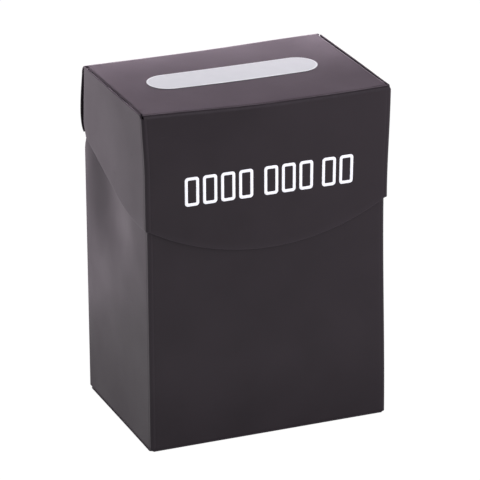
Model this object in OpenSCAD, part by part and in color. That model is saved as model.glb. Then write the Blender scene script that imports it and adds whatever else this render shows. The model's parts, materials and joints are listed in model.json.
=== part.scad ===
// Flip-top deck box for trading cards, folded from one sheet of polypropylene.
// The origin is the centre of the base, +Z is up and the front faces -Y.
// Each panel between two creases is a solid of its own, and a panel carries the
// rounded crease that joins it to its neighbour.

/* [Box] */
// Outside width of the body, side to side
body_w = 70; // [60:0.5:80]
// Outside depth of the body, front to back
body_d = 49.4; // [40:0.2:60]
// Height of the shut box
total_h = 97; // [92:0.5:105]
// Thickness of the plastic sheet
sheet_t = 0.45; // [0.35:0.05:0.6]
// Outside radius of a crease
crease_r = 0.9; // [0.8:0.1:1.4]
// Thickness of the adhesive between two bonded layers
adhesive_t = 0.1; // [0.05:0.05:0.2]

/* [Body] */
// How far the body's rim rises above the hinge, so that the lid still swings clear of it
rim_rise = 4; // [1:0.5:4]
// Width of the thumb notch in the front rim
notch_w = 34; // [20:1:44]
// Depth of the thumb notch
notch_depth = 7; // [3:0.5:12]
// How far the outer side panel stops short of the back
rear_setback = 0.3; // [0.2:0.1:1]
// Rounding of the side panel's upper rear corner, which keeps clear of the hinge
side_corner_r = 10; // [6:0.5:12]
// Gap under the cut lower edge of the outer side panel
foot_gap = 0.15; // [0.1:0.05:0.4]
// Length of each dust flap on the bottom
dust_flap_l = 22; // [10:1:28]

/* [Lid] */
// Height of the living hinge
hinge_z = 77; // [70:0.5:80]
// Clearance between the lid and the body
lid_gap = 0.25; // [0.2:0.05:0.4]
// Height of the lid's lower edge at its front corners
lid_corner_z = 64.9; // [60:0.1:68]
// How far the lid's front edge dips in the middle
front_dip = 9.4; // [2:0.2:12]
// Slant of the lower edge of the lid's side flaps, in degrees
flap_slant = 20; // [15:0.5:23]
// Length over which the slanted edge curves into the level one
slant_blend = 9; // [4:0.5:11]
// How far the top edge of a side flap sits below the lid's top face
flap_drop = 0.1; // [0:0.05:0.4]
// Outside radius of the tight crease between the lid's top and its inner flaps
tight_crease_r = 0.6; // [0.6:0.1:1]
// Gap between the lid's inner and outer flaps, a groove along the top that adhesive fills lower down
top_groove = 0.3; // [0.2:0.05:0.5]
// Outside radius of the soft crease between the lid's top and its back
lid_rear_r = 3; // [2:0.1:4]
// How far the top of the lid's back stands off the plane of the body's back
lid_rear_gap = 0.3; // [0:0.1:1]
// How far the rear edge of a side flap sits in from the plane of the body's back
flap_setback = 1.6; // [0.2:0.1:3]
// How much further in that rear edge is at its top
flap_lean = 1.4; // [0:0.1:2]
// Height over which the flap's lower rear corner is cut off
flap_corner = 3.5; // [1:0.5:5]
// Sideways reach of the roll above the hinge, as the reach of its two control points
roll_reach = [3.8, 2]; // [1:0.1:5]
// Height of the same two control points above the hinge
roll_rise = [1.9, 9.7]; // [1.5:0.1:12]

/* [Label and print] */
// Length of the write-on label
label_l = 49.5; // [30:0.5:60]
// Width of the write-on label
label_w = 12; // [8:0.5:16]
// How far the label sits behind the middle of the box
label_y = 1.2; // [-4:0.2:4]
// Thickness of the label
label_t = 0.1; // [0.05:0.05:0.2]
// Height of the printed card outlines
print_h = 8.2; // [5:0.2:10]
// Height of the middle of the print above the base
print_z = 74.8; // [72:0.2:84]
// Line width of the print
print_line = 0.85; // [0.5:0.05:1.2]
// Thickness of the printed ink
print_t = 0.05; // [0.03:0.01:0.1]

/* [Divider] */
// Width of the loose card divider
divider_w = 64.6; // [56:0.2:65]
// Height of the divider's top edge above its foot
divider_h = 88; // [70:0.5:90]
// Thickness of the divider
divider_t = 0.8; // [0.5:0.1:1.2]
// Gap between the divider and the back panel
divider_back_gap = 0.4; // [0.3:0.1:2]

/* [Hidden] */
$fn = 96;

plastic = "#2b272c";
plastic_inside = "#343036";
glue = "#c9c3b0";
label_colour = "#dcdde4";
ink = "#f4f4f6";

// Body, from the outside in
half_w = body_w / 2;
half_d = body_d / 2;
seam_x = half_w - sheet_t;
inner_flap_x = seam_x - adhesive_t;
cavity_x = inner_flap_x - sheet_t;
front_flat_x = half_w - crease_r;
back_flat_x = inner_flap_x - crease_r;
rim_z = hinge_z + rim_rise;
notch_r = (notch_w * notch_w / 4 + notch_depth * notch_depth) / (2 * notch_depth);
foot_z = sheet_t + foot_gap;
dust_crease_z = sheet_t + crease_r;

// Living hinge: a thin web at the outer skin of the back
web_t = 0.3;
web_h = 0.6;
web_clearance = 0.05;

// Lid, from the outside in
lid_x = half_w + lid_gap + sheet_t;
lid_seam_x = lid_x - sheet_t;
lid_inner_x = lid_seam_x - top_groove;
lid_front_y = -half_d - lid_gap - sheet_t;
lid_rear_y = half_d + lid_rear_gap;
lid_flat_x = lid_x - crease_r;
lid_top_x = lid_inner_x - tight_crease_r;
lid_back_x = lid_seam_x - 0.05;
crease_z = total_h - crease_r;
rear_crease_z = total_h - lid_rear_r;
tight_crease_z = total_h - tight_crease_r;
flap_top_z = total_h - flap_drop;
flap_rear_y = half_d - flap_setback;
flap_tip_y = flap_rear_y - flap_corner / 2;
flap_tip_z = hinge_z - 0.4;
lid_inner_front_y = lid_front_y + 2.4;
lid_inner_rear_y = lid_rear_y - lid_rear_r - 0.5;
front_edge_r = (lid_flat_x * lid_flat_x + front_dip * front_dip) / (2 * front_dip);
lid_inner_low_z = rim_z + 1.5;
corner_round = 3;
relief = 0.2; // width of the relief cut where a flap ends

// A row of card outlines, as [offset of the group, number of cards in it]
print_groups = [[-24.6, 4], [-1.7, 3], [15.5, 2]];
print_card_w = 4.1;
print_pitch = 5.2;

function bezier(p, t) =
    pow(1 - t, 3) * p[0] + 3 * pow(1 - t, 2) * t * p[1]
    + 3 * (1 - t) * t * t * p[2] + pow(t, 3) * p[3];

// A sheet standing in the XZ plane, drawn as (x, z), with its front face at y
module sheet_xz(y, thickness = sheet_t)
    translate([0, y + thickness, 0])
        rotate([90, 0, 0])
            linear_extrude(thickness)
                children();

// A sheet standing in the YZ plane, drawn as (y, z), with its left face at x
module sheet_yz(x, thickness = sheet_t)
    translate([x, 0, 0])
        rotate([90, 0, 90])
            linear_extrude(thickness)
                children();

// A quarter tube along +Z in the quadrant of +X and +Y, for one folded crease
module crease(length, r = crease_r)
    intersection() {
        difference() {
            cylinder(h = length, r = r);
            translate([0, 0, -1])
                cylinder(h = length + 2, r = r - sheet_t);
        }
        translate([0, 0, -1])
            cube([r + 1, r + 1, length + 2]);
    }

module upright_crease(x, y, low, high)
    translate([x, y, low])
        rotate([0, 0, y > 0 ? 0 : -90])
            crease(high - low);

// A level crease along X, at the front (side -1) or back (side 1), below or on top
module level_crease(y, z, half_length, side, top, r = crease_r)
    translate([-half_length, y, z])
        mirror([0, side > 0 ? 0 : 1, 0])
            mirror([0, 0, top ? 0 : 1])
                rotate([90, 0, 90])
                    crease(2 * half_length, r);

// A level crease along Y on the right-hand side
module side_crease(x, z, front, back, top, r = crease_r)
    translate([x, front, z])
        mirror([0, 0, top ? 0 : 1])
            rotate([90, 0, 0])
                mirror([0, 0, 1])
                    crease(back - front, r);

module rounded_sheet(size, r) {
    translate([r, 0])
        square([size[0] - 2 * r, size[1]]);
    translate([0, r])
        square([size[0], size[1] - 2 * r]);
    for (x = [r, size[0] - r])
        for (y = [r, size[1] - r])
            translate([x, y])
                circle(r);
}

module mirrored()
    mirror([1, 0, 0])
        children();

// ---- body ----

module front_panel()
    color(plastic)
        sheet_xz(-half_d)
            difference() {
                translate([-front_flat_x, crease_r])
                    square([2 * front_flat_x, rim_z - crease_r]);
                translate([0, rim_z - notch_depth + notch_r])
                    circle(notch_r);
            }

module back_panel()
    color(plastic)
        sheet_xz(half_d - sheet_t)
            translate([-back_flat_x, crease_r])
                square([2 * back_flat_x, hinge_z - web_h - crease_r]);

module bottom_panel()
    color(plastic) {
        translate([-half_w, -half_d + crease_r, 0])
            cube([body_w, body_d - 2 * crease_r, sheet_t]);
        level_crease(-half_d + crease_r, crease_r, front_flat_x, -1, false);
        level_crease(half_d - crease_r, crease_r, back_flat_x, 1, false);
    }

// The outer side panel hangs on the front panel's upright crease
module outer_side_panel()
    color(plastic) {
        sheet_yz(seam_x)
            difference() {
                translate([-half_d + crease_r, foot_z])
                    square([body_d - crease_r - rear_setback, rim_z - foot_z]);
                translate([half_d - rear_setback - side_corner_r, rim_z - side_corner_r])
                    difference() {
                        square(side_corner_r + 1);
                        circle(side_corner_r);
                    }
            }
        upright_crease(front_flat_x, -half_d + crease_r, foot_z, rim_z);
    }

// The inner side flap hangs on the back panel's upright crease
module inner_side_flap()
    color(plastic_inside) {
        sheet_yz(cavity_x)
            translate([-half_d + 2 * sheet_t, dust_crease_z])
                square([body_d - crease_r - 2 * sheet_t, rim_z - dust_crease_z]);
        upright_crease(back_flat_x, half_d - crease_r, dust_crease_z, hinge_z - web_h);
    }

// The dust flap folds in from the foot of the inner side flap and lies on the bottom
module bottom_dust_flap()
    color(plastic_inside) {
        flap_half_d = half_d - 2.6;
        translate([0, 0, sheet_t])
            linear_extrude(sheet_t)
                polygon([
                    [back_flat_x, -flap_half_d],
                    [back_flat_x, flap_half_d],
                    [back_flat_x - dust_flap_l, flap_half_d - 4],
                    [back_flat_x - dust_flap_l, -flap_half_d + 4]
                ]);
        side_crease(back_flat_x, dust_crease_z, -flap_half_d, flap_half_d, false);
    }

module seam_adhesive()
    color(glue)
        sheet_yz(inner_flap_x, adhesive_t)
            translate([-8, 8])
                square([16, 64]);

module living_hinge()
    color(plastic)
        translate([-back_flat_x, half_d - web_t, hinge_z - web_h])
            cube([2 * back_flat_x, web_t, web_h]);

// ---- lid ----

// The back of the lid rolls outwards just above the hinge, then leans back in
module lid_back_panel()
    color(plastic) {
        steps = 24;
        low_z = hinge_z + web_clearance;
        path = [
            [half_d, low_z],
            [half_d + roll_reach[0], low_z + roll_rise[0]],
            [half_d + roll_reach[1], low_z + roll_rise[1]],
            [lid_rear_y, rear_crease_z]
        ];
        outer = [for (i = [0:steps]) bezier(path, i / steps)];
        inner = [for (i = [steps:-1:0]) bezier(path, i / steps) - [sheet_t, 0]];
        sheet_yz(-lid_back_x, 2 * lid_back_x)
            polygon(concat(outer, inner));
    }

module lid_top_panel()
    color(plastic) {
        front_y = lid_front_y + crease_r;
        rear_y = lid_rear_y - lid_rear_r;
        translate([0, 0, total_h - sheet_t])
            linear_extrude(sheet_t) {
                translate([-lid_top_x, front_y])
                    square([2 * lid_top_x, rear_y - front_y]);
                translate([-lid_flat_x, front_y])
                    square([2 * lid_flat_x, lid_inner_front_y - relief - front_y]);
                translate([-lid_back_x, lid_inner_rear_y + relief])
                    square([2 * lid_back_x, rear_y - lid_inner_rear_y - relief]);
            }
        level_crease(front_y, crease_z, lid_flat_x, -1, true);
        level_crease(rear_y, rear_crease_z, lid_back_x, 1, true, lid_rear_r);
    }

// The lower edge of the front is one shallow arc from corner to corner
module lid_front_panel()
    color(plastic)
        sheet_xz(lid_front_y)
            intersection() {
                translate([-lid_flat_x, 0])
                    square([2 * lid_flat_x, crease_z]);
                translate([0, lid_corner_z - front_dip + front_edge_r])
                    circle(front_edge_r);
            }

// The outer flap hangs on the lid front's upright crease. Its lower edge runs level
// from the front, then curves into a slant that climbs to the hinge.
module lid_outer_flap()
    color(plastic) {
        front_y = lid_front_y + crease_r;
        bend_y = flap_tip_y - (flap_tip_z - lid_corner_z) / tan(flap_slant);
        blend_r = slant_blend / tan(flap_slant / 2);
        steps = 8;
        blend = [
            for (i = [0:steps])
                let (a = i / steps * flap_slant)
                    [bend_y - slant_blend + blend_r * sin(a), lid_corner_z + blend_r * (1 - cos(a))]
        ];
        sheet_yz(lid_seam_x)
            polygon(concat(
                [[front_y, flap_top_z], [front_y, lid_corner_z]],
                blend,
                [
                    [flap_tip_y, flap_tip_z],
                    [flap_rear_y, flap_tip_z + flap_corner],
                    [flap_rear_y - flap_lean, flap_top_z]
                ]
            ));
        upright_crease(lid_flat_x, front_y, lid_corner_z, crease_z);
    }

// The inner flap folds down from the side of the lid's top panel
module lid_inner_flap()
    color(plastic_inside) {
        sheet_yz(lid_inner_x - sheet_t)
            translate([lid_inner_front_y, lid_inner_low_z])
                square([lid_inner_rear_y - lid_inner_front_y, tight_crease_z - lid_inner_low_z]);
        side_crease(lid_top_x, tight_crease_z, lid_inner_front_y, lid_inner_rear_y, true, tight_crease_r);
    }

module lid_seam_adhesive()
    color(glue)
        sheet_yz(lid_inner_x, top_groove)
            translate([-17, lid_inner_low_z + 3])
                square([34, 6]);

module write_on_label()
    color(label_colour)
        translate([0, label_y, total_h])
            linear_extrude(label_t) {
                square([label_l - label_w, label_w], center = true);
                for (side = [-1, 1])
                    translate([side * (label_l - label_w) / 2, 0])
                        circle(label_w / 2);
            }

module card_outline()
    difference() {
        rounded_sheet([print_card_w, print_h], 0.9);
        translate([print_line, print_line])
            rounded_sheet([print_card_w - 2 * print_line, print_h - 2 * print_line], 0.3);
    }

module front_print()
    color(ink)
        sheet_xz(lid_front_y - print_t, print_t)
            for (group = print_groups)
                for (i = [0:group[1] - 1])
                    translate([group[0] + i * print_pitch, print_z - print_h / 2])
                        card_outline();

// ---- divider ----

module card_divider()
    color(plastic_inside)
        sheet_xz(half_d - sheet_t - divider_back_gap - divider_t, divider_t)
            translate([-divider_w / 2, 2 * sheet_t + 0.1])
                rounded_sheet([divider_w, divider_h], corner_round);

front_panel();
back_panel();
bottom_panel();
mirrored() outer_side_panel();  // left_outer_side_panel
outer_side_panel();  // right_outer_side_panel
mirrored() inner_side_flap();  // left_inner_side_flap
inner_side_flap();  // right_inner_side_flap
mirrored() bottom_dust_flap();  // left_bottom_dust_flap
bottom_dust_flap();  // right_bottom_dust_flap
mirrored() seam_adhesive();  // left_seam_adhesive
seam_adhesive();  // right_seam_adhesive
living_hinge();
lid_back_panel();
lid_top_panel();
lid_front_panel();
mirrored() lid_outer_flap();  // lid_left_outer_flap
lid_outer_flap();  // lid_right_outer_flap
mirrored() lid_inner_flap();  // lid_left_inner_flap
lid_inner_flap();  // lid_right_inner_flap
mirrored() lid_seam_adhesive();  // lid_left_seam_adhesive
lid_seam_adhesive();  // lid_right_seam_adhesive
write_on_label();
front_print();
card_divider();
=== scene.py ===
"""Looks of a flip-top card deck box, folded from one dark polypropylene sheet.

Every panel of the sheet is rebuilt from the frame's own boxes with pressed score lines,
rounded cut edges and the slight bow of a folded sheet, and rides on its CAD body.
Lengths in this script are millimetres, and meshes are made in metres.
"""
import json
import math

import bmesh
import bpy
import numpy as np
from mathutils import Matrix, Vector

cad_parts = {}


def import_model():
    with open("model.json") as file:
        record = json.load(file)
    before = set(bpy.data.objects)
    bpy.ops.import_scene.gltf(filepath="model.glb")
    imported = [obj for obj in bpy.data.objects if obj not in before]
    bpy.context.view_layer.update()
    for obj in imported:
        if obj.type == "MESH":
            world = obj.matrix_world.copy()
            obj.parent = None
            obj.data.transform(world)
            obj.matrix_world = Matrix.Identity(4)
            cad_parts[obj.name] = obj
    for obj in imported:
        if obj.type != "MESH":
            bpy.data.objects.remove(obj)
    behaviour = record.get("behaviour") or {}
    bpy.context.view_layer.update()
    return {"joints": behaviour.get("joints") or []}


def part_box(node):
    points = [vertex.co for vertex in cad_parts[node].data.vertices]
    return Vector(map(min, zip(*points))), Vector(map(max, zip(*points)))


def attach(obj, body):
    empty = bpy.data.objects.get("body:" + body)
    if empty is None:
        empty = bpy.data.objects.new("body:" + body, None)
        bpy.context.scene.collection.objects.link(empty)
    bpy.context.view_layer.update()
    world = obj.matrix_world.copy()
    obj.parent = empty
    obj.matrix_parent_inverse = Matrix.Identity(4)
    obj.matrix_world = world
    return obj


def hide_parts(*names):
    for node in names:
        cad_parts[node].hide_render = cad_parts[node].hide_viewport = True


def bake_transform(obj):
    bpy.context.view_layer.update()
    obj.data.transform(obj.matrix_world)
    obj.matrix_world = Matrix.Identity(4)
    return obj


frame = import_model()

MM = 0.001

# ---- sizes from the frame, in millimetres ----


def extent(node):
    """Lowest and highest corner of a CAD node, in millimetres."""
    low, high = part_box(node)
    return np.array(low) / MM, np.array(high) / MM


def joint_place(name):
    """Where a joint sits, in millimetres."""
    joint = next(j for j in frame["joints"] if j["name"] == name)
    return np.array(joint["pos_m"]) / MM


front_low, front_high = extent("front_panel")
half_d = -front_low[1]
sheet_t = front_high[1] - front_low[1]
crease_r = front_low[2]
rim_z = front_high[2]
front_flat_x = front_high[0]
half_w = extent("bottom_panel")[1][0]
foot_z = extent("right_outer_side_panel")[0][2]
side_rear_y = extent("right_outer_side_panel")[1][1]
back_flat_x = extent("back_panel")[1][0]
back_top_z = extent("back_panel")[1][2]
inner_flap_front_y = extent("right_inner_side_flap")[0][1]
inner_flap_x = extent("right_inner_side_flap")[1][0]
dust_low, dust_high = extent("right_bottom_dust_flap")
hinge_z = joint_place("lid_hinge")[2]
web_low, web_high = extent("living_hinge")

lid_top_low, lid_top_high = extent("lid_top_panel")
lid_front_y = lid_top_low[1]
lid_rear_y = lid_top_high[1]
lid_back_x = lid_top_high[0]
total_h = lid_top_high[2]
crease_z = total_h - crease_r
rear_crease_z = lid_top_low[2]
lid_flat_x = extent("lid_front_panel")[1][0]
lid_front_low_z = extent("lid_front_panel")[0][2]
lid_back_low_z = extent("lid_back_panel")[0][2]
flap_low, flap_high = extent("lid_right_outer_flap")
lid_corner_z = flap_low[2]
inner_low, inner_high = extent("lid_right_inner_flap")
divider_low, divider_high = extent("card_divider")
label_low, label_high = extent("write_on_label")
print_low, print_high = extent("front_print")

# ---- details that the boxes don't tell ----

CORNER_R = 3.0          # rounded corners of the divider and the inner flaps
SIDE_CORNER_R = 10.0    # upper rear corner of the body's outer side panels
NOTCH_HALF_W = 17.0     # thumb notch in the front rim
NOTCH_DEPTH = 7.0
DUST_TAPER = 4.0        # how much narrower a dust flap is at its inner end
FLAP_SLANT = math.radians(20)
SLANT_BLEND = 9.0       # length over which the slanted edge curves into the level one
FLAP_TIP_Z = -0.4       # end of the slanted edge, above the hinge
FLAP_CORNER = 3.5       # height of the cut-off lower rear corner of a side flap
FLAP_LEAN = 1.4         # how much further forward a side flap's rear edge is at its top
TIGHT_R = 0.6           # crease between the lid's top and its inner flaps
ROLL_REACH = (3.8, 2.0)
ROLL_RISE = (1.9, 9.7)
EDGE_R = 0.1            # rounding of a cut edge
GRID = 2.0              # widest spacing of the mesh
SCORE_AT = 0.42         # pressed score line: distance from the crease, width and depth
SCORE_W = 0.2
SCORE_DEPTH = 0.05
WAVE = 0.04             # height of the sheet's slow waves
PINCH = 0.85            # how far the right-hand side is pressed in, near the lid's lower edge
DENT = 1.4              # dent in the body's left-hand side, below the lid's flap
TOP_SAG = 0.55          # sag of the lid's top at the middle of its front crease
REAR_SKEW = 1.1         # how much further back the right-hand end of the lid's rear crease is
FRONT_LEAN = 2.2        # how far the lid's front leans back at its upper left corner
FRONT_DROP = 0.2        # how much lower the lid's upper right corner is
PRINT_GROUPS = ((-24.6, 4), (-1.7, 3), (15.5, 2))
PRINT_CARD_W = 4.1
PRINT_PITCH = 5.2
PRINT_LINE = 0.85
LABEL_RIM = 0.55


def ease(t):
    """0 below 0, 1 above 1 and smooth between."""
    t = np.clip(t, 0.0, 1.0)
    return t * t * (3 - 2 * t)


def rounding(distance, radius=EDGE_R):
    """How far a face sinks at this distance from a rounded cut edge."""
    reach = np.clip(radius - distance, 0.0, radius)
    return radius - np.sqrt(radius * radius - reach * reach)


# ---- paths: the outer face of a sheet, seen along its creases ----


class Path:
    """Points and outward normals along a sheet, with what happens to it at each point."""

    def __init__(self, points, normals, end_gap=None, press=None, crease=None):
        count = len(points)
        self.points = np.array(points, float)
        self.normals = np.array(normals, float)
        self.end_gap = np.full(count, 99.0) if end_gap is None else np.array(end_gap, float)
        self.press = np.zeros(count) if press is None else np.array(press, float)
        self.crease = np.zeros(count) if crease is None else np.array(crease, float)

    def __add__(self, other):
        """Joins two paths, the first point of the second being the last of the first."""
        return Path(
            np.vstack([self.points, other.points[1:]]),
            np.vstack([self.normals, other.normals[1:]]),
            np.concatenate([self.end_gap, other.end_gap[1:]]),
            np.concatenate([self.press, other.press[1:]]),
            np.concatenate([self.crease, other.crease[1:]]),
        )


def score(distance):
    """Depth of a pressed score line at this distance from its crease."""
    return SCORE_DEPTH * np.exp(-(((distance - SCORE_AT) / SCORE_W) ** 2))


CUT_MARKS = [EDGE_R * (1 - math.cos(math.radians(a))) for a in (0, 30, 60, 90)] + [0.35]
SCORE_MARKS = [0.12, 0.22, 0.32, 0.42, 0.52, 0.64, 0.8, 1.1]


def corner_marks(radius):
    """Distances at which a rounded corner of this radius needs a row of the mesh."""
    return [radius * (1 - math.cos(math.radians(a))) for a in range(10, 91, 10)]


def line(start, end, normal, cut=(False, False), scored=(False, False), marks=((), ())):
    """A straight stretch. cut and scored say what its two ends are, and marks adds
    distances from its two ends at which the mesh needs a row."""
    start, end = np.array(start, float), np.array(end, float)
    length = np.linalg.norm(end - start)
    rows = list(np.linspace(0, length, max(2, math.ceil(length / GRID) + 1)))
    fine = [0.0, length]
    for side in (0, 1):
        near = list(marks[side])
        near += CUT_MARKS if cut[side] else []
        near += SCORE_MARKS if scored[side] else []
        fine += [length - m if side else m for m in near]
    rows = sorted(fine + [r for r in rows if min(abs(r - f) for f in fine) > 0.3])
    rows = [r for i, r in enumerate(rows) if i == 0 or r - rows[i - 1] > 0.004]
    rows = np.array(rows)
    gaps = [rows, length - rows]
    end_gap = np.min([g if c else rows * 0 + 99 for g, c in zip(gaps, cut)], axis=0)
    press = sum(score(g) for g, s in zip(gaps, scored) if s) + rows * 0
    crease = sum(np.exp(-g / 0.45) for g, s in zip(gaps, scored) if s) + rows * 0
    points = start + (end - start) * (rows / length)[:, None]
    return Path(points, np.tile(normal, (len(rows), 1)), end_gap, press, crease)


def arc(centre, radius, start, end, steps=14):
    """A folded crease, as a round stretch between two angles in degrees."""
    angles = np.radians(np.linspace(start, end, steps + 1))
    normals = np.stack([np.cos(angles), np.sin(angles)], axis=1)
    return Path(np.array(centre) + radius * normals, normals, crease=np.ones(steps + 1))


def curve(p0, p1, p2, p3, steps, crease=0.0):
    """A Bezier stretch whose outer side is to the right of its direction."""
    p0, p1, p2, p3 = (np.array(p, float) for p in (p0, p1, p2, p3))
    t = np.linspace(0, 1, steps + 1)[:, None]
    points = (1 - t) ** 3 * p0 + 3 * (1 - t) ** 2 * t * p1 + 3 * (1 - t) * t * t * p2 + t ** 3 * p3
    along = 3 * ((1 - t) ** 2 * (p1 - p0) + 2 * (1 - t) * t * (p2 - p1) + t * t * (p3 - p2))
    along /= np.linalg.norm(along, axis=1)[:, None]
    normals = np.stack([along[:, 1], -along[:, 0]], axis=1)
    return Path(points, normals, crease=np.full(steps + 1, crease))


# ---- sheets: a path swept across the direction that it is seen along ----

PLANES = {
    "upright": lambda a, b, v: np.stack([a, b, v], axis=-1),
    "along_x": lambda a, b, v: np.stack([v, a, b], axis=-1),
    "along_y": lambda a, b, v: np.stack([a, v, b], axis=-1),
}


def sheet(path, span, plane, thickness, cut=(1, 1), edge_r=EDGE_R):
    """Vertices, faces and wear of a closed sheet. span gives its two edges at a point of
    the path, and cut how far each of them is a free cut edge there, from 0 to 1."""
    limits = np.array([span(*p) for p in path.points], float)
    low, high = limits[:, 0], limits[:, 1]
    weights = [np.array([c(*p) if callable(c) else c for p in path.points], float) for c in cut]
    near = [edge_r * (1 - math.cos(math.radians(a))) for a in (0, 30, 60)] + [edge_r]
    near = np.array(near + [3.5 * edge_r])
    middle = np.linspace(0, 1, max(2, math.ceil((high - low).max() / GRID) + 1))[1:-1]
    inner_low = (low + near[-1])[:, None]
    inner_high = (high - near[-1])[:, None]
    across = np.hstack([
        low[:, None] + near,
        inner_low + (inner_high - inner_low) * middle,
        high[:, None] - near[::-1],
    ])
    gap_low = np.where(weights[0][:, None] > 0, across - low[:, None], 99.0)
    gap_high = np.where(weights[1][:, None] > 0, high[:, None] - across, 99.0)
    sink = rounding(across - low[:, None], edge_r) * weights[0][:, None]
    sink += rounding(high[:, None] - across, edge_r) * weights[1][:, None]
    sink += rounding(path.end_gap, edge_r)[:, None]
    sink = np.minimum(sink, 0.42 * thickness)
    normal = path.normals[:, None, :]
    outer = path.points[:, None, :] - normal * (sink + path.press[:, None])[..., None]
    inner = path.points[:, None, :] - normal * (thickness - sink)[..., None]
    place = PLANES[plane]
    corners = [place(f[..., 0], f[..., 1], across) for f in (outer, inner)]
    rows, cols = across.shape
    index = np.arange(rows * cols).reshape(rows, cols)
    back = index + rows * cols
    faces = []
    for grid in (index, back):
        faces += [
            (grid[i, j], grid[i + 1, j], grid[i + 1, j + 1], grid[i, j + 1])
            for i in range(rows - 1) for j in range(cols - 1)
        ]
    for i in range(rows - 1):
        faces += [(index[i, j], index[i + 1, j], back[i + 1, j], back[i, j]) for j in (0, cols - 1)]
    for j in range(cols - 1):
        faces += [(index[i, j], index[i, j + 1], back[i, j + 1], back[i, j]) for i in (0, rows - 1)]
    gap = np.minimum(np.minimum(gap_low, gap_high), path.end_gap[:, None])
    edge = np.exp(-gap / 0.25).ravel()
    crease = np.repeat(path.crease, cols)
    return {
        "verts": np.vstack([c.reshape(-1, 3) for c in corners]),
        "faces": faces,
        "edge": np.concatenate([edge, edge]),
        "crease": np.concatenate([crease, crease * 0.3]),
    }


# ---- the slight shapes that a folded sheet takes ----


def bow(v):
    """Slow waves in the upright panels, and the right-hand side pressed in a little along
    its whole depth."""
    x, y, z = v[:, 0], v[:, 1], v[:, 2]
    moved = v.copy()
    ripple = 0.5 + 0.5 * np.sin(0.11 * z + 1.3) * np.sin(0.13 * x + 0.09 * y + 0.4)
    side = ease((np.abs(x) - 32) / 2) * (1 - (y / half_d) ** 2).clip(0, 1)
    front = ease((np.abs(y) - 20) / 2) * (1 - (x / half_w) ** 2).clip(0, 1) * (y < half_d)
    moved[:, 0] -= WAVE * ripple * side * np.sign(x)
    moved[:, 1] -= WAVE * ripple * front * np.sign(y)
    pressed = ease((z - 2) / 60) * ease((98 - z) / 32)
    moved[:, 0] -= PINCH * pressed * (x / half_w).clip(0, 1.1)
    return moved


def dent(v):
    """A shallow dent in the body's left-hand side, below the lid's flap."""
    x, y, z = v[:, 0], v[:, 1], v[:, 2]
    moved = v.copy()
    depth = ease((y + 14) / 20) * ease((half_d - 0.5 - y) / 17) * ease((z - 42) / 22)
    moved[:, 0] += DENT * depth * ease((-30 - x) / 3)
    return moved


def sag(v):
    """The lid's top sags a little, most at the middle of its front crease, and its rear
    crease runs slightly askew."""
    x, y, z = v[:, 0], v[:, 1], v[:, 2]
    across = np.clip(1 - (x / lid_flat_x) ** 2, 0, 1)
    depth = 0.2 + 0.8 * ease((half_d - y) / (2 * half_d))
    moved = v.copy()
    moved[:, 2] -= TOP_SAG * across * depth * ease((z - 78) / (total_h - 78))
    moved[:, 2] -= FRONT_DROP * ease((x - 5) / 30) * ease(-y / 22) * ease((z - 78) / 19)
    moved[:, 1] += REAR_SKEW * ease((x + 5) / 35) * ease((y - 8) / 14) * ease((z - 84) / 10)
    moved[:, 1] += FRONT_LEAN * ease((5 - x) / 38) * ease((2 - y) / 20) * ease((z - 80) / 20)
    return moved


def close_groove(v):
    """The groove beside the lid's top closes towards the front."""
    x, y = v[:, 0], v[:, 1]
    groove = flap_high[0] - sheet_t - inner_high[0]
    share = ease((-11 - y) / 9) * ease((np.abs(x) - 30) / 4)
    moved = v.copy()
    moved[:, 0] += np.sign(x) * (groove - 0.05) * share
    return moved


def mirrored(shape):
    """The same shape on the other side of the box."""
    flipped = dict(shape)
    flipped["verts"] = shape["verts"] * np.array([-1, 1, 1])
    return flipped


def make_piece(name, shape, body, node, material, warps=(), smooth_below=50):
    """Turns a shape into a piece that stands for a CAD node and rides on its body."""
    verts = shape["verts"]
    for warp in warps:
        verts = warp(verts)
    mesh = bpy.data.meshes.new(name)
    mesh.from_pydata((verts * MM).tolist(), [], [tuple(int(i) for i in f) for f in shape["faces"]])
    for kind in ("edge", "crease"):
        values = np.array(shape.get(kind, np.zeros(len(verts))), np.float32)
        mesh.attributes.new(kind, "FLOAT", "POINT").data.foreach_set("value", values)
    built = bmesh.new()
    built.from_mesh(mesh)
    bmesh.ops.recalc_face_normals(built, faces=built.faces)
    for face in built.faces:
        face.smooth = True
    for e in built.edges:
        e.smooth = e.calc_face_angle(0) < math.radians(smooth_below)
    built.to_mesh(mesh)
    built.free()
    mesh.materials.append(material)
    piece = bpy.data.objects.new(name, mesh)
    bpy.context.scene.collection.objects.link(piece)
    if body:
        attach(piece, body)
    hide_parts(node)
    return piece


# ---- materials ----


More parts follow.
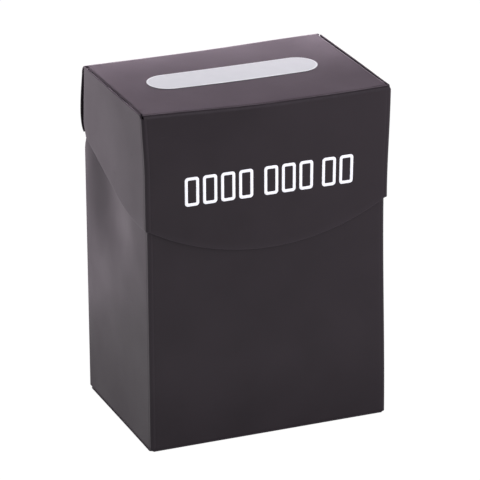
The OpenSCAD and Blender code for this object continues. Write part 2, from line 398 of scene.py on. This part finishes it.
class Nodes:
    """A small helper that adds nodes to a material and links them."""

    def __init__(self, name):
        self.material = bpy.data.materials.new(name)
        self.material.use_nodes = True
        self.tree = self.material.node_tree
        self.shader = self.tree.nodes["Principled BSDF"]
        self.place = self.add("ShaderNodeTexCoord").outputs["Object"]

    def add(self, kind, inputs=(), **settings):
        made = self.tree.nodes.new(kind)
        for key, value in settings.items():
            setattr(made, key, value)
        for key, value in dict(inputs).items():
            self.set(made.inputs[key], value)
        return made

    def set(self, socket, value):
        if isinstance(value, bpy.types.NodeSocket):
            self.tree.links.new(value, socket)
        else:
            socket.default_value = value

    def noise(self, size_mm, detail=2.0, stretch=(1, 1, 1)):
        """Noise whose blotches are about size_mm across, from 0 to 1."""
        scale = self.add("ShaderNodeVectorMath", {0: self.place, 1: stretch}, operation="MULTIPLY")
        made = self.add("ShaderNodeTexNoise", {"Vector": scale.outputs[0], "Detail": detail})
        made.inputs["Scale"].default_value = 1 / (size_mm * MM)
        return made.outputs["Fac"]

    def attribute(self, name):
        return self.add("ShaderNodeAttribute", attribute_name=name).outputs["Fac"]

    def math(self, operation, a, b=0.0, c=0.0):
        return self.add("ShaderNodeMath", {0: a, 1: b, 2: c}, operation=operation).outputs[0]

    def remap(self, value, low, high, to_low, to_high):
        inputs = {"Value": value, "From Min": low, "From Max": high, "To Min": to_low, "To Max": to_high}
        return self.add("ShaderNodeMapRange", inputs).outputs["Result"]

    def soft(self, value, none, full):
        """A smooth step from 0 at none to 1 at full."""
        inputs = {"Value": value, "From Min": none, "From Max": full}
        return self.add("ShaderNodeMapRange", inputs, interpolation_type="SMOOTHSTEP").outputs["Result"]

    def mix(self, share, a, b):
        made = self.add("ShaderNodeMix", data_type="RGBA")
        for socket, value in zip((made.inputs[0], made.inputs[6], made.inputs[7]), (share, a, b)):
            self.set(socket, value)
        return made.outputs[2]

    def bump(self, height, depth_mm, strength, under=None):
        inputs = {"Height": height, "Distance": depth_mm * MM, "Strength": strength}
        made = self.add("ShaderNodeBump", inputs)
        if under is not None:
            self.set(made.inputs["Normal"], under)
        return made.outputs["Normal"]

    def finish(self, **sockets):
        for key, value in sockets.items():
            self.set(self.shader.inputs[key.replace("_", " ")], value)
        return self.material


def sheet_plastic(name, deep, pale, roughness):
    """Matt extruded polypropylene: fine grain, faint draw lines, scuffs, pale cut edges
    and creases that the fold has whitened, with painted shade: less reflection towards the foot."""
    n = Nodes(name)
    blotch = n.noise(14, 3.0)
    grain = n.noise(0.16, 3.0)
    streak = n.noise(1.2, 2.0, stretch=(1, 1, 0.03))
    scuff = n.noise(0.7, 4.0, stretch=(0.25, 0.25, 1))
    marks = n.remap(scuff, 0.66, 0.78, 0.0, 0.5)
    base = n.mix(n.remap(blotch, 0.3, 0.7, 0.0, 1.0), deep, tuple(c * 1.25 for c in deep[:3]) + (1,))
    worn = n.math("MULTIPLY", n.attribute("crease"), n.remap(streak, 0.3, 0.7, 0.02, 0.12))
    worn = n.math("MAXIMUM", worn, n.math("MULTIPLY", n.attribute("edge"), 0.22))
    worn = n.math("MAXIMUM", worn, n.math("MULTIPLY", marks, 0.12))
    colour = n.mix(worn, base, pale)
    rough = n.math("ADD", roughness, n.remap(blotch, 0.3, 0.7, -0.03, 0.03))
    rough = n.math("ADD", rough, n.math("MULTIPLY", marks, 0.12))
    # Painted shade: the specular reflection is turned down towards the foot, gently over the lowest 26 mm
    # and strongly in the lowest 2 mm. It stands in for the darker floor reflected under and beside the box.
    height = n.add("ShaderNodeSeparateXYZ", {0: n.place}).outputs[2]
    foot = n.soft(height, 26 * MM, 0.0)
    foot = n.math("MAXIMUM", n.math("MULTIPLY", foot, 0.55), n.soft(height, 2.2 * MM, 0.7 * MM))
    normal = n.bump(grain, 0.012, 0.5)
    normal = n.bump(streak, 0.004, 0.35, normal)
    return n.finish(
        Base_Color=colour, Roughness=rough, Normal=normal, IOR=1.46,
        Specular_IOR_Level=n.remap(foot, 0.0, 1.0, 0.22, 0.05), Specular_Tint=(1.0, 0.90, 0.98, 1),
        Sheen_Weight=0.06, Sheen_Roughness=0.45, Sheen_Tint=(1.0, 0.72, 0.95, 1))


def adhesive():
    """Clear glue between the bonded layers, with small bubbles."""
    n = Nodes("seam_adhesive")
    cloud = n.noise(3, 3.0)
    cells = n.add("ShaderNodeTexVoronoi", {"Vector": n.place, "Scale": 900.0})
    bubbles = n.remap(cells.outputs["Distance"], 0.1, 0.25, 1.0, 0.0)
    colour = n.mix(n.remap(cloud, 0.3, 0.7, 0, 1), (0.52, 0.48, 0.38, 1), (0.62, 0.58, 0.47, 1))
    colour = n.mix(n.math("MULTIPLY", bubbles, 0.4), colour, (0.75, 0.73, 0.66, 1))
    return n.finish(Base_Color=colour, Roughness=n.remap(cloud, 0.3, 0.7, 0.2, 0.35),
                    Normal=n.bump(bubbles, 0.02, 0.5), IOR=1.48)


def film():
    """Write-on film: fine paper-like tooth, faint mottling and a brighter printed rim."""
    n = Nodes("label_film")
    mottle = n.noise(2.5, 4.0)
    tooth = n.noise(0.09, 2.0)
    field = n.mix(n.remap(mottle, 0.3, 0.7, 0, 1), (0.735, 0.795, 0.800, 1), (0.755, 0.815, 0.820, 1))
    colour = n.mix(n.attribute("edge"), field, (0.90, 0.96, 0.96, 1))
    return n.finish(Base_Color=colour, Roughness=n.remap(tooth, 0.3, 0.7, 0.52, 0.62),
                    Normal=n.bump(tooth, 0.01, 0.4), IOR=1.48)


def ink():
    """Screen-printed white ink: the mesh's weave shows faintly in its surface."""
    n = Nodes("white_ink")
    mottle = n.noise(1.1, 3.0)
    pinholes = n.remap(n.noise(0.22, 1.0), 0.72, 0.78, 0.0, 0.35)
    waves = n.add("ShaderNodeTexWave", {"Vector": n.place, "Scale": 800.0, "Distortion": 0.4},
                  bands_direction="X").outputs["Fac"]
    colour = n.mix(n.remap(mottle, 0.3, 0.7, 0, 1), (0.84, 0.87, 0.93, 1), (0.90, 0.92, 0.96, 1))
    colour = n.mix(pinholes, colour, (0.35, 0.34, 0.37, 1))
    return n.finish(Base_Color=colour, Roughness=n.remap(mottle, 0.3, 0.7, 0.42, 0.52),
                    Normal=n.bump(waves, 0.006, 0.25), IOR=1.5)


BLACK = sheet_plastic(
    "black_polypropylene", (0.0135, 0.0112, 0.0134, 1), (0.060, 0.052, 0.064, 1), 0.48)
DIVIDER = sheet_plastic(
    "divider_polypropylene", (0.0190, 0.0165, 0.0195, 1), (0.10, 0.095, 0.105, 1), 0.34)
GLUE = adhesive()
FILM = film()
INK = ink()


# ---- body panels ----


def notch_rim(x, y):
    """Rim of the front panel, with the thumb notch blended into it."""
    radius = (NOTCH_HALF_W ** 2 + NOTCH_DEPTH ** 2) / (2 * NOTCH_DEPTH)
    bottom = rim_z - NOTCH_DEPTH + radius - math.sqrt(max(radius ** 2 - x * x, 0))
    soft = 0.8
    share = min(max(0.5 + 0.5 * (bottom - rim_z) / soft, 0), 1)
    return bottom * (1 - share) + rim_z * share - soft * share * (1 - share)


def rounded_corner(distance, radius=CORNER_R):
    """How far an edge drops at this distance from a rounded corner's end."""
    return rounding(distance, radius)


def front_panel():
    path = line((-front_flat_x, -half_d), (front_flat_x, -half_d), (0, -1), scored=(True, True))
    return sheet(path, lambda x, y: (crease_r, notch_rim(x, y)), "upright", sheet_t, cut=(0, 1))


def back_panel():
    path = line((back_flat_x, half_d), (-back_flat_x, half_d), (0, 1), scored=(True, True))
    return sheet(path, lambda x, y: (crease_r, back_top_z), "upright", sheet_t, cut=(0, 0))


def bottom_panel():
    front_y, rear_y = -half_d + crease_r, half_d - crease_r
    path = arc((front_y, crease_r), crease_r, 180, 270)
    path += line((front_y, 0), (rear_y, 0), (0, -1), scored=(True, True))
    path += arc((rear_y, crease_r), crease_r, 270, 360)

    def span(y, z):
        half = front_flat_x + (half_w - front_flat_x) * ease((y - front_y) / 0.8)
        half -= (half_w - back_flat_x) * ease((y - rear_y + 0.8) / 0.8)
        return -half, half

    return sheet(path, span, "along_x", sheet_t)


def outer_side_panel():
    front_y = -half_d + crease_r
    path = arc((front_flat_x, front_y), crease_r, -90, 0)
    path += line((half_w, front_y), (half_w, side_rear_y), (1, 0), cut=(False, True),
                 scored=(True, False), marks=((), corner_marks(SIDE_CORNER_R)))

    def span(x, y):
        return foot_z, rim_z - rounded_corner(side_rear_y - y, SIDE_CORNER_R)

    return sheet(path, span, "upright", sheet_t)


def inner_side_flap():
    rear_y = half_d - crease_r
    path = line((inner_flap_x, inner_flap_front_y), (inner_flap_x, rear_y), (1, 0),
                cut=(True, False), scored=(False, True), marks=(corner_marks(CORNER_R), (0.5, 1.5, 2.0)))
    path += arc((back_flat_x, rear_y), crease_r, 0, 90)

    def span(x, y):
        drop = (rim_z - back_top_z) * ease((y - rear_y + 2.2) / 2.2)
        return crease_r + sheet_t, rim_z - rounded_corner(y - inner_flap_front_y) - drop

    return sheet(path, span, "upright", sheet_t, cut=(0, 1))


def bottom_dust_flap():
    length = back_flat_x - dust_low[0]
    path = arc((back_flat_x, dust_high[2]), crease_r, 0, -90)
    path += line((back_flat_x, dust_low[2]), (dust_low[0], dust_low[2]), (0, -1),
                 cut=(False, True), scored=(True, False), marks=((), corner_marks(CORNER_R)))

    def span(x, z):
        run = max(back_flat_x - x, 0)
        half = dust_high[1] - DUST_TAPER * run / length - rounded_corner(length - run)
        return -half, half

    return sheet(path, span, "along_y", sheet_t)


def glue_bead(node, squeeze):
    """A strip of glue squeezed between two layers, so that its outline wanders."""
    low, high = extent(node)
    path = line((high[0], low[1]), (high[0], high[1]), (1, 0), cut=(True, True))

    def span(x, y):
        wander = squeeze * (0.5 + 0.3 * math.sin(1.1 * y) + 0.2 * math.sin(2.7 * y + 1))
        ends = 1.2 * rounding(min(y - low[1], high[1] - y), 1.5)
        return low[2] + wander + ends, high[2] - wander - ends

    return sheet(path, span, "upright", high[0] - low[0], edge_r=0.05)


def living_hinge():
    """The thin web, from the back panel up to the foot of the lid's back."""
    path = line((half_d, web_low[2]), (half_d, lid_back_low_z), (1, 0),
                marks=(tuple(np.arange(0.05, 0.6, 0.05)), ()))
    return sheet(path, lambda y, z: (-back_flat_x, back_flat_x), "along_x", web_high[1] - web_low[1])


# ---- lid panels ----


def lid_back_panel():
    path = curve(
        (half_d, lid_back_low_z),
        (half_d + ROLL_REACH[0], lid_back_low_z + ROLL_RISE[0]),
        (half_d + ROLL_REACH[1], lid_back_low_z + ROLL_RISE[1]),
        (lid_rear_y, rear_crease_z), 48)
    return sheet(path, lambda y, z: (-lid_back_x, lid_back_x), "along_x", sheet_t)


def lid_top_panel():
    rear_r = total_h - rear_crease_z
    front_y, rear_y = lid_front_y + crease_r, lid_rear_y - rear_r
    path = arc((front_y, crease_z), crease_r, 180, 90)
    path += line((front_y, total_h), (rear_y, total_h), (0, 1), scored=(True, False),
                 marks=((0.5, 1.0, 1.5), (0.1, 0.2, 0.3, 0.4, 0.5, 0.6)))
    path += arc((rear_y, rear_crease_z), rear_r, 90, 0, 18)
    middle_x = inner_low[0]

    def open_front(y):
        return 1 - ease((y - inner_low[1] + 0.8) / 0.6)

    def open_rear(y):
        return ease((y - inner_high[1]) / 0.5)

    def span(y, z):
        half = middle_x + (lid_flat_x - middle_x) * open_front(y)
        half += (lid_back_x - middle_x) * open_rear(y)
        return -half, half

    def free(y, z):
        return max(open_front(y), open_rear(y))

    return sheet(path, span, "along_x", sheet_t, cut=(free, free))


def lid_front_panel():
    dip = lid_corner_z - lid_front_low_z
    radius = (lid_flat_x ** 2 + dip ** 2) / (2 * dip)
    path = line((-lid_flat_x, lid_front_y), (lid_flat_x, lid_front_y), (0, -1), scored=(True, True))

    def span(x, y):
        return lid_front_low_z + radius - math.sqrt(radius ** 2 - x * x), crease_z

    return sheet(path, span, "upright", sheet_t, cut=(1, 0))


def lid_outer_flap():
    """The flap's rear edge leans forward, and its lower rear corner is cut off: both are
    made by pulling the rear end of a square-ended sheet forward."""
    front_y, rear_y = lid_front_y + crease_r, flap_high[1]
    tip_y, tip_z = rear_y - FLAP_CORNER / 2, hinge_z + FLAP_TIP_Z
    corner_z = tip_z + FLAP_CORNER
    bend_y = tip_y - (tip_z - lid_corner_z) / math.tan(FLAP_SLANT)
    blend_r = SLANT_BLEND / math.tan(FLAP_SLANT / 2)
    path = arc((lid_flat_x, front_y), crease_r, -90, 0)
    path += line((flap_high[0], front_y), (flap_high[0], rear_y), (1, 0), cut=(False, True),
                 scored=(True, False), marks=((0.4, 0.9), (0.6, 1.0, 1.5)))

    def pulled(y, z):
        below, above = np.maximum(corner_z - z, 0), np.maximum(z - corner_z, 0)
        pull = 0.5 * below + FLAP_LEAN * above / (flap_high[2] - corner_z)
        return y - pull * ease((y - rear_y + 9) / 9)

    def lower_edge(y):
        run = y - bend_y + SLANT_BLEND
        turn = math.asin(min(max(run / blend_r, 0), math.sin(FLAP_SLANT)))
        past = max(0.0, run - blend_r * math.sin(FLAP_SLANT))
        return lid_corner_z + blend_r * (1 - math.cos(turn)) + past * math.tan(FLAP_SLANT)

    def span(x, y):
        low = lower_edge(y)
        for _ in range(12):
            low = lower_edge(pulled(y, low))
        high = crease_z + (flap_high[2] - crease_z) * ease((y - front_y) / 0.9)
        return low + 0.4 * rounding(rear_y - y, 0.5), high

    shape = sheet(path, span, "upright", sheet_t)
    shape["verts"][:, 1] = pulled(shape["verts"][:, 1], shape["verts"][:, 2])
    return shape


def lid_inner_flap():
    crease_x, crease_low = inner_high[0] - TIGHT_R, total_h - TIGHT_R
    path = arc((crease_x, crease_low), TIGHT_R, 90, 0, 10)
    path += line((inner_high[0], crease_low), (inner_high[0], inner_low[2]), (1, 0),
                 cut=(False, True), marks=((), corner_marks(CORNER_R)))

    def span(x, z):
        corner = rounded_corner(z - inner_low[2])
        return inner_low[1] + corner, inner_high[1] - corner

    return sheet(path, span, "along_y", sheet_t)


# ---- label, print and divider ----


def stadium(half_length, radius, inset, steps=14):
    """Outline of a slot shape, pulled in by inset, from its right end round to it again.
    Point i is straight above point count - i."""
    r = radius - inset
    turn = [(half_length + r * math.cos(a), r * math.sin(a)) for a in np.linspace(0, math.pi / 2, steps + 1)]
    straight = [(x, r) for x in np.linspace(half_length, 0, steps + 1)[1:]]
    quarter = turn + straight
    upper = quarter + [(-x, y) for x, y in reversed(quarter[:-1])]
    return np.array(upper + [(x, -y) for x, y in reversed(upper[1:-1])])


def rounded_outline(width, height, radius, inset, steps=7):
    """Outline of a rounded rectangle, pulled in by inset."""
    w, h, r = width / 2 - inset, height / 2 - inset, max(radius - inset, 0.02)
    points = []
    for quarter, (sx, sy) in enumerate(((1, 1), (-1, 1), (-1, -1), (1, -1))):
        for a in np.linspace(0, math.pi / 2, steps + 1) + quarter * math.pi / 2:
            points.append((sx * (w - r) + r * math.cos(a), sy * (h - r) + r * math.sin(a)))
    return np.array(points)


def loops_to_faces(loops, count, first=0):
    """Quads between neighbouring closed loops of the same count."""
    return [
        (first + a * count + i, first + a * count + (i + 1) % count,
         first + b * count + (i + 1) % count, first + b * count + i)
        for a, b in zip(loops[:-1], loops[1:]) for i in range(count)
    ]


def label():
    """A thin film with a rim that stands a little above its writing field."""
    half_length = (label_high[0] - label_low[0] - label_high[1] + label_low[1]) / 2
    radius = (label_high[1] - label_low[1]) / 2
    middle_y = (label_high[1] + label_low[1]) / 2
    low, top = label_low[2], label_high[2]
    thick = top - low
    profile = [(0.02, low, 1), (0, low + 0.4 * thick, 1), (0.02, low + 0.8 * thick, 1),
               (0.07, top, 1), (LABEL_RIM - 0.08, top, 1), (LABEL_RIM, low + 0.72 * thick, 0.2)]
    field = [(LABEL_RIM + 0.08 + step, low + 0.7 * thick, 0)
             for step in np.linspace(0, radius - LABEL_RIM - 0.3, 5)]
    rings = [stadium(half_length, radius, inset) for inset, _, _ in profile + field]
    count = len(rings[0])
    verts, edge = [], []
    for ring, (_, z, rim) in zip(rings, profile + field):
        verts += [(x, y + middle_y, z) for x, y in ring]
        edge += [rim] * count
    faces = loops_to_faces(list(range(len(rings))), count)
    for first in (0, (len(rings) - 1) * count):
        half = count // 2
        faces += [(first, first + 1, first + count - 1), (first + half - 1, first + half, first + half + 1)]
        faces += [(first + i, first + i + 1, first + count - i - 1, first + count - i)
                  for i in range(1, half - 1)]
    return {"verts": np.array(verts), "faces": faces, "edge": np.array(edge)}


def card_outlines():
    """Rows of plain card outlines in raised ink, one closed ring for each card."""
    height = print_high[2] - print_low[2]
    middle_z = (print_high[2] + print_low[2]) / 2
    base, top = print_high[1], print_low[1]
    outer_r, inner_r = 0.9, 0.3
    soft = 0.035
    profile = [("out", 0, base), ("out", 0.01, (base + top) / 2), ("out", soft, top),
               ("in", -soft, top), ("in", -0.01, (base + top) / 2), ("in", 0, base)]
    verts, faces = [], []
    for offset, cards in PRINT_GROUPS:
        for card in range(cards):
            first = len(verts)
            x0 = offset + card * PRINT_PITCH + PRINT_CARD_W / 2
            for kind, inset, y in profile:
                if kind == "out":
                    ring = rounded_outline(PRINT_CARD_W, height, outer_r, inset)
                else:
                    inner_w, inner_h = PRINT_CARD_W - 2 * PRINT_LINE, height - 2 * PRINT_LINE
                    ring = rounded_outline(inner_w, inner_h, inner_r, inset)
                verts += [(x0 + x, y, middle_z + z) for x, z in ring]
            count = len(ring)
            faces += loops_to_faces([0, 1, 2, 3, 4, 5, 0], count, first)
    return {"verts": np.array(verts), "faces": faces}


def card_divider():
    left, right = divider_low[0], divider_high[0]
    path = line((left, divider_low[1]), (right, divider_low[1]), (0, -1), cut=(True, True),
                marks=(corner_marks(CORNER_R), corner_marks(CORNER_R)))

    def span(x, y):
        corner = rounded_corner(min(x - left, right - x))
        return divider_low[2] + corner, divider_high[2] - corner

    return sheet(path, span, "upright", divider_high[1] - divider_low[1], edge_r=0.2)


# ---- every piece, in place ----

BODY_PIECES = {"front_panel": front_panel, "back_panel": back_panel, "bottom_panel": bottom_panel}
for node, build in BODY_PIECES.items():
    make_piece(node + "_sheet", build(), "box", node, BLACK, (bow,))

PAIRED = {
    "outer_side_panel": (outer_side_panel, "box", (bow, dent)),
    "inner_side_flap": (inner_side_flap, "box", (bow, dent)),
    "bottom_dust_flap": (bottom_dust_flap, "box", (bow, dent)),
    "lid_outer_flap": (lid_outer_flap, "lid", (bow, sag)),
    "lid_inner_flap": (lid_inner_flap, "lid", (close_groove, bow, sag)),
}
for name, (build, body, warps) in PAIRED.items():
    for side, turn in (("left", mirrored), ("right", dict)):
        node = "lid_" + side + name[3:] if name.startswith("lid") else side + "_" + name
        make_piece(node + "_sheet", turn(build()), body, node, BLACK, warps)

LID_PIECES = {"lid_back_panel": lid_back_panel, "lid_front_panel": lid_front_panel}
for node, build in LID_PIECES.items():
    make_piece(node + "_sheet", build(), "lid", node, BLACK, (bow, sag))
make_piece("lid_top_panel_sheet", lid_top_panel(), "lid", "lid_top_panel",
           BLACK, (close_groove, bow, sag))

for prefix, body, squeeze in (("", "box", 1.0), ("lid_", "lid", 0.7)):
    for side, turn in (("left", mirrored), ("right", dict)):
        node = prefix + side + "_seam_adhesive"
        bead = turn(glue_bead(prefix + "right_seam_adhesive", squeeze))
        warps = (bow, dent) if body == "box" else (bow,)
        make_piece(node + "_bead", bead, body, node, GLUE, warps)

web = make_piece("living_hinge_web", living_hinge(), None, "living_hinge",
                 BLACK, (bow,))
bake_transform(web)

make_piece("write_on_label_film", label(), "lid", "write_on_label", FILM, (sag,))
make_piece("front_print_ink", card_outlines(), "lid", "front_print", INK, (bow,))
make_piece("card_divider_sheet", card_divider(), "divider", "card_divider",
           DIVIDER)


# ---- floor, light and camera ----


def floor():
    """A plain pale floor, evenly lit."""
    mesh = bpy.data.meshes.new("floor")
    half = 1600 * MM
    drop = -0.04 * MM
    corners = [(-half, -half, drop), (half, -half, drop), (half, half, drop), (-half, half, drop)]
    mesh.from_pydata(corners, [], [(0, 1, 2, 3)])
    n = Nodes("pale_floor")
    cloud = n.remap(n.noise(300, 1.0), 0.3, 0.7, 0.97, 0.99)
    n.finish(Base_Color=(0.07, 0.07, 0.07, 1), Roughness=0.9, Specular_IOR_Level=0.0,
             Emission_Color=(1, 1, 1, 1), Emission_Strength=cloud)
    mesh.materials.append(n.material)
    made = bpy.data.objects.new("floor", mesh)
    bpy.context.scene.collection.objects.link(made)


def softbox(name, place, aim, size, watts, tint=(1, 1, 1)):
    """An area light at place, in millimetres, that faces aim."""
    data = bpy.data.lights.new(name, "AREA")
    data.shape = "RECTANGLE"
    data.size, data.size_y = size[0] * MM, size[1] * MM
    data.energy = watts
    data.color = tint
    lamp = bpy.data.objects.new(name, data)
    place, aim = Vector(place) * MM, Vector(aim) * MM
    turn = (aim - place).to_track_quat("-Z", "Y").to_matrix().to_4x4()
    lamp.matrix_world = Matrix.Translation(place) @ turn
    lamp.visible_camera = False
    bpy.context.scene.collection.objects.link(lamp)


def camera():
    """The camera, a little to the left of the front and above it."""
    azimuth, elevation, roll = (math.radians(a) for a in (-22.02, 21.44, -0.32))
    target = Vector((0.83, -1.5, 48.78)) * MM
    distance = 974.5 * MM
    back = Vector((math.sin(azimuth) * math.cos(elevation), -math.cos(azimuth) * math.cos(elevation),
                   math.sin(elevation)))
    level = (-back).cross(Vector((0, 0, 1))).normalized()
    upright = level.cross(-back)
    right = math.cos(roll) * level + math.sin(roll) * upright
    up = math.cos(roll) * upright - math.sin(roll) * level
    data = bpy.data.cameras.new("camera")
    data.lens, data.sensor_width = 263.6, 36.0
    data.clip_start, data.clip_end = 0.01, 20
    made = bpy.data.objects.new("camera", data)
    turn = Matrix((right, up, back)).transposed().to_4x4()
    made.matrix_world = Matrix.Translation(target + back * distance) @ turn
    bpy.context.scene.collection.objects.link(made)
    bpy.context.scene.camera = made


def world(strength, tint):
    """Even light from all around."""
    made = bpy.data.worlds.new("studio")
    made.use_nodes = True
    background = made.node_tree.nodes["Background"]
    background.inputs["Color"].default_value = (*tint, 1)
    background.inputs["Strength"].default_value = strength
    bpy.context.scene.world = made


LAMP_TINT = (1.0, 0.83, 0.98)

floor()
world(0.24, LAMP_TINT)
softbox("rear_softbox", (40, 70, 107), (25, 0, 98), (280, 16), 0.090, LAMP_TINT)
softbox("left_rear_softbox", (-54, 72, 54), (-38, 5, 50), (32, 104), 0.012, LAMP_TINT)
softbox("right_fill_softbox", (112, -150, 60), (20, -25, 60), (60, 100), 0.038, LAMP_TINT)
softbox("key_softbox", (150, -520, 620), (0, 0, 50), (1000, 1000), 6.4)
camera()
bpy.context.scene.view_settings.view_transform = "Standard"
